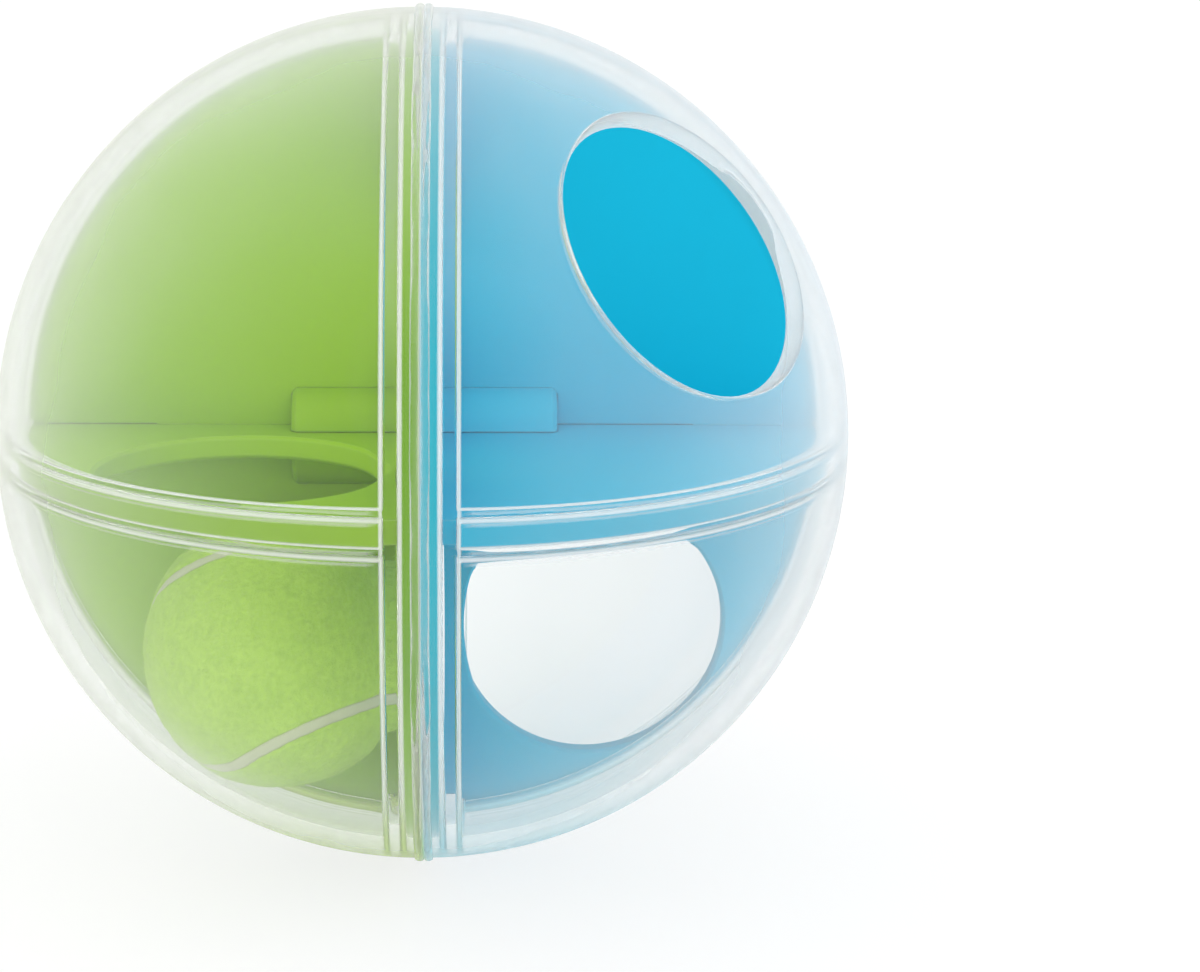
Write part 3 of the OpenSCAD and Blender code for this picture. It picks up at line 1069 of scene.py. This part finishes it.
    def ribbon(self) -> bpy.types.Object:
        """The seam: a flat domed profile carried along the seam's closed path of four half circles,
        two in front about Z and two behind about Y.

        Returns:
            The piece, which replaces the seam node.
        """
        step = np.linspace(0.0, 1.0, 90, endpoint=False)
        turn = -math.pi / 2 + step * math.pi
        c = math.sqrt(0.5)
        level = np.full(len(step), c)
        front = np.stack([c * np.cos(turn), c * np.sin(turn), level], axis=-1)
        behind = np.stack([-c * np.cos(turn), level, -c * np.sin(turn)], axis=-1)
        path = np.concatenate([front, behind, front * [1, -1, -1], behind * [1, -1, -1]])
        ahead = np.roll(path, -1, axis=0) - np.roll(path, 1, axis=0)
        across = np.cross(path, ahead)
        across /= np.linalg.norm(across, axis=1)[:, None]
        lane = np.linspace(-1.0, 1.0, 7)
        top = self.ribbon_r - 0.22 * lane**2
        width = np.concatenate([lane, [0.95, -0.95]]) * self.ribbon_half
        radius = np.concatenate([top, [self.groove_r - 0.25, self.groove_r - 0.25]])
        along = np.arange(len(path)) * (2.0 * math.pi / len(path))
        wobble = 1.0 + 0.05 * np.sin(31 * along) + 0.04 * np.sin(73 * along + 1.0)
        points = path[:, None] * radius[None, :, None] + across[:, None] * (
            width[None, :] * wobble[:, None])[..., None]
        rung = cell_faces(len(path) + 1, len(width), True).reshape(-1, 4) % (len(path) * len(width))
        piece = make_piece("ball_seam_ribbon", self.place(points.reshape(-1, 3)), [rung], "tennis_ball")
        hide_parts("ball_seam")
        return piece

    def build(self) -> None:
        """Makes the cover and the ribbon, and dresses them and the core."""
        seam = MattRubber("seam_rubber", (0.40, 0.44, 0.25), (0.50, 0.54, 0.34))
        core = MattRubber("core_rubber", (0.06, 0.062, 0.06), (0.12, 0.12, 0.115))
        dress(self.cover(), WovenFelt().material())
        dress(self.ribbon(), seam.material())
        dress(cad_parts["ball_core"], core.material())


@dataclass(frozen=True)
class PhotoCamera:
    """The camera at the photograph's viewing angle, with the ball where the photograph has it."""

    frame_px: tuple[float, float] = (1200.0, 972.0)
    ball_px: tuple[float, float] = (425.0, 433.0)
    ball_radius_px: float = 425.0
    ball_radius: float = 0.1
    distance: float = 0.8
    azimuth: float = 0.7
    elevation: float = 12.9
    roll: float = -0.1
    sensor: float = 36.0

    def build(self) -> None:
        """Aims the camera so that the ball's centre falls on its pixel: the view straight at the ball
        is turned by the angle between the frame's middle and that pixel."""
        focal = self.ball_radius_px / math.tan(math.asin(self.ball_radius / self.distance))
        around, up = math.radians(self.azimuth), math.radians(self.elevation)
        back = Vector((math.sin(around) * math.cos(up), -math.cos(around) * math.cos(up), math.sin(up)))
        rolled = Matrix.Rotation(math.radians(self.roll), 3, "Z")
        straight = (-back).to_track_quat("-Z", "Y").to_matrix() @ rolled
        ray = Vector(((self.ball_px[0] - self.frame_px[0] / 2) / focal,
                      (self.frame_px[1] / 2 - self.ball_px[1]) / focal, -1.0))
        aside = ray.rotation_difference(Vector((0.0, 0.0, -1.0))).to_matrix()
        data = bpy.data.cameras.new("photo_camera")
        data.sensor_fit = "HORIZONTAL"
        data.sensor_width = self.sensor
        data.lens = focal / self.frame_px[0] * self.sensor
        data.clip_start, data.clip_end = 0.01, 50.0
        camera = bpy.data.objects.new("photo_camera", data)
        camera.matrix_world = Matrix.Translation(back * self.distance) @ (straight @ aside).to_4x4()
        bpy.context.scene.collection.objects.link(camera)
        bpy.context.scene.camera = camera
        LOG.info("camera: lens %.1f mm", data.lens)


@dataclass(frozen=True)
class Studio:
    """Plain pale floor, white surroundings and one broad soft light."""

    floor_z: float = -0.1011
    floor_reach: float = 12.0
    floor_bounce: float = 0.95
    floor_grey: float = 0.22
    floor_glow: float = 0.77
    sky: float = 1.2
    sun: float = 0.45
    sun_spread: float = 70.0
    sun_from: tuple[float, float, float] = (0.3, -1.0, 0.5)

    def build(self) -> None:
        """Makes the world, the floor and the light, and sets the view transform."""
        bpy.context.scene.view_settings.view_transform = "Standard"
        self.world()
        self.floor()
        self.light()

    def seen(self, bench: NodeBench, other: float, seen: float) -> bpy.types.NodeSocket:
        """One number for rays that show a surface, in gloss and glass too, and another for the rest.

        Args:
            bench: the bench of the material or world.
            other: the number for rays that only light the object.
            seen: the number for rays from the camera, from gloss and through glass.

        Returns:
            The number's socket.
        """
        rays = bench.add("ShaderNodeLightPath")
        first = bench.math("MAXIMUM", rays.outputs["Is Camera Ray"], rays.outputs["Is Glossy Ray"])
        share = bench.math("MAXIMUM", first, rays.outputs["Is Transmission Ray"])
        return bench.span(share, other, seen)

    def world(self) -> None:
        """White surroundings: full white where they are seen, dimmer as a light."""
        world = bpy.data.worlds.new("studio_white")
        bpy.context.scene.world = world
        world.use_nodes = True
        world.node_tree.nodes.clear()
        bench = NodeBench(world)
        out = bench.add("ShaderNodeOutputWorld")
        back = bench.add("ShaderNodeBackground", Color=(1.0, 1.0, 1.0, 1.0))
        bench.link(self.seen(bench, self.sky, 1.0), back.inputs["Strength"])
        bench.link(back.outputs[0], out.inputs["Surface"])

    def floor(self) -> None:
        """A plain pale floor that keeps the ball's shadow."""
        mesh = bpy.data.meshes.new("floor")
        corner = np.array([[-1, -1], [1, -1], [1, 1], [-1, 1]]) * self.floor_reach
        points = np.concatenate([corner, np.full((4, 1), self.floor_z)], axis=1)
        mesh.from_pydata(points.tolist(), [], [[0, 1, 2, 3]])
        floor = bpy.data.objects.new("floor", mesh)
        bpy.context.scene.collection.objects.link(floor)
        bench = new_bench("pale_floor")
        matt = bench.add("ShaderNodeBsdfDiffuse")
        grey = bench.add("ShaderNodeCombineColor")
        for channel in grey.inputs:
            bench.link(self.seen(bench, self.floor_bounce, self.floor_grey), channel)
        bench.link(grey.outputs[0], matt.inputs["Color"])
        glow = bench.add("ShaderNodeEmission", Color=(1.0, 1.0, 1.0, 1.0))
        both = bench.add("ShaderNodeAddShader")
        bench.link(self.seen(bench, 0.0, self.floor_glow), glow.inputs["Strength"])
        bench.link(matt.outputs[0], both.inputs[0])
        bench.link(glow.outputs[0], both.inputs[1])
        dress(floor, bench.finish(both))

    def light(self) -> None:
        """A very broad light from above and in front."""
        data = bpy.data.lights.new("broad_light", "SUN")
        data.energy = self.sun
        data.angle = math.radians(self.sun_spread)
        lamp = bpy.data.objects.new("broad_light", data)
        lamp.visible_glossy = False
        lamp.rotation_euler = (-Vector(self.sun_from)).to_track_quat("-Z", "Y").to_euler()
        bpy.context.scene.collection.objects.link(lamp)


def main() -> None:
    """Builds the studio and every sub-assembly in order."""
    logging.basicConfig(level=logging.INFO, format="%(message)s")
    PhotoCamera().build()
    Studio().build()
    clear = ClearPlastic().material()
    for half in Half:
        dress(HalfShell(half).build(), clear)
    # The edge and divider rim colours are painted shade at the ball's wall.
    MazePanels(Half.GREEN, colour=(0.27, 0.49, 0.012), edge=(0.20, 0.37, 0.008),
               divider=(0.25, 0.46, 0.012), divider_wall_shade=(0.13, 0.30, 0.004), wall_shade_ends=0.45).build()
    MazePanels(Half.BLUE, colour=(0.001, 0.42, 0.62), edge=(0.001, 0.33, 0.49),
               divider=(0.0015, 0.42, 0.62), divider_wall_shade=(0.0015, 0.35, 0.44)).build()
    dress(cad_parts["hub_axle"], SatinPlastic("axle_plastic", (0.78, 0.78, 0.75), 0.35).material())
    TennisBall().build()


if __name__ == "__main__":
    main()
